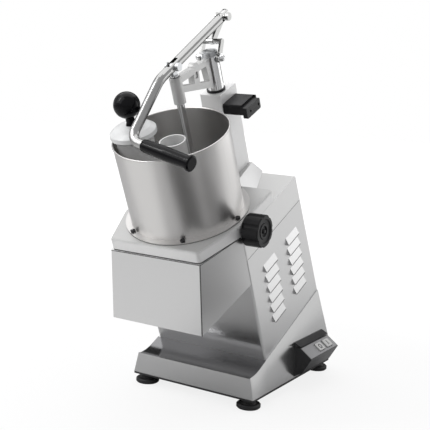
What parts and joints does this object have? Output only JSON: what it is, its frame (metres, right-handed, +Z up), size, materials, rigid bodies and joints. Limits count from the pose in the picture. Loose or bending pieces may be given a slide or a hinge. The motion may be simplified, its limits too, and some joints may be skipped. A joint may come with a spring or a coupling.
{
  "type": "vegetable cutting machine",
  "caption": "Upright vegetable cutting machine: tilted steel body, round hopper with lever pusher and feed tubes, hinged lid, discharge chute and a control box",
  "frame": {"origin": "on the floor, at the middle of the four feet", "axes": "+Z up, -Y towards the operator (hopper and chute side), +X to the operator's right (knob and control box side)"},
  "size_m": [0.3155, 0.5891, 0.7496],
  "materials": {
    "steel": "satin brushed stainless sheet",
    "deck": "bright stainless sheet",
    "cast": "blasted and tumbled casting",
    "inner": "plain casting",
    "chrome": "polished",
    "zinc": "turned steel",
    "black": "fine moulded grain",
    "grip": "smooth moulded",
    "rubber": "soft moulded",
    "paint": "sprayed",
    "panel": "moulded box with a grey face",
    "key": "light moulded keys",
    "ivory": "light moulded plastic",
    "board": "laminate board",
    "can": "drawn can",
    "white": "white moulded plastic"
  },
  "bodies": {
    "frame": {"base_shell": "deck", "bottom_plate": "steel", "edge_trim": "rubber", "rubber_feet": "rubber", "foot_screws": "zinc", "motor_housing": "steel", "rear_cover": "steel", "cover_screws": "zinc", "cutting_chamber": "inner", "chute_hood": "steel", "belt_guard": "inner", "motor_plate": "zinc", "motor_body": "paint", "drive_belt": "rubber", "spindle_bearings": "zinc", "capacitor": "can", "control_board": "board", "cable_gland": "black", "hinge_brackets": "zinc", "hinge_pins": "zinc", "lock_stud": "zinc", "control_box": "panel"},
    "lid": {"lid": "cast", "lid_gasket": "rubber", "hopper": "steel", "hopper_screws": "zinc", "wide_feed_tube": "steel", "narrow_feed_tube": "steel", "column": "cast", "column_screws": "zinc", "post": "chrome", "post_ring": "black", "post_cap": "zinc", "link_bolts": "chrome", "guide_bracket": "cast", "guide_bushes": "black", "switch_box": "black", "lid_hinges": "zinc"},
    "pestle": {"pestle": "ivory", "pestle_knob": "grip"},
    "pusher": {"pusher_rod": "zinc", "rod_eye": "zinc", "pusher_plate": "cast", "pusher_nut": "zinc"},
    "lever": {"lever_arm": "chrome", "lever_pin": "zinc", "lever_grip": "grip", "grip_cap": "grip"},
    "link": {"link_yoke": "chrome"},
    "knob": {"lock_knob": "black"},
    "spindle": {"spindle": "zinc", "disc_pulley": "inner", "slicing_disc": "can", "disc_blades": "chrome", "ejector": "white"},
    "rotor": {"motor_rotor": "zinc", "motor_pulley": "inner", "motor_fan": "black"},
    "start_key": {"start_button": "key"},
    "stop_key": {"stop_button": "key"}
  },
  "joints": [
    {"name": "lid_hinge", "type": "hinge", "parent": "frame", "child": "lid", "pos_m": [-0.133, -0.16856, 0.37072], "axis": [0, -0.9063, -0.4226], "range_deg": [0, 95]},
    {"name": "pestle_slide", "type": "slide", "parent": "lid", "child": "pestle", "axis": [0, -0.4226, 0.9063], "range_m": [0, 0.12]},
    {"name": "pusher_slide", "type": "slide", "parent": "lid", "child": "pusher", "axis": [0, -0.4226, 0.9063], "range_m": [0, 0.15]},
    {"name": "lever_pivot", "type": "hinge", "parent": "pusher", "child": "lever", "pos_m": [0, -0.28683, 0.63499], "axis": [1, 0, 0], "range_deg": [-41, 0]},
    {"name": "link_pivot", "type": "hinge", "parent": "lid", "child": "link", "pos_m": [0, -0.16277, 0.65643], "axis": [1, 0, 0], "range_deg": [0, 19.5]},
    {"name": "knob_turn", "type": "hinge", "parent": "frame", "child": "knob", "pos_m": [0.14, -0.2162, 0.35457], "axis": [1, 0, 0], "continuous": true},
    {"name": "spindle_spin", "type": "hinge", "parent": "frame", "child": "spindle", "pos_m": [0, -0.19437, 0.32669], "axis": [0, -0.4226, 0.9063], "continuous": true},
    {"name": "rotor_spin", "type": "hinge", "parent": "frame", "child": "rotor", "pos_m": [0, -0.0352, 0.25747], "axis": [0, -0.4226, 0.9063], "continuous": true},
    {"name": "start_press", "type": "slide", "parent": "frame", "child": "start_key", "axis": [-0.5755, 0, -0.8178], "range_m": [0, 0.003], "stiffness_N_per_m": 800},
    {"name": "stop_press", "type": "slide", "parent": "frame", "child": "stop_key", "axis": [-0.5755, 0, -0.8178], "range_m": [0, 0.003], "stiffness_N_per_m": 800}
  ],
  "couplings": [
    {"joint": "lever_pivot", "follows": "pusher_slide", "rad_per_m": -4.7},
    {"joint": "link_pivot", "follows": "pusher_slide", "rad_per_m": 2.194},
    {"joint": "rotor_spin", "follows": "spindle_spin", "ratio": 2.947}
  ]
}
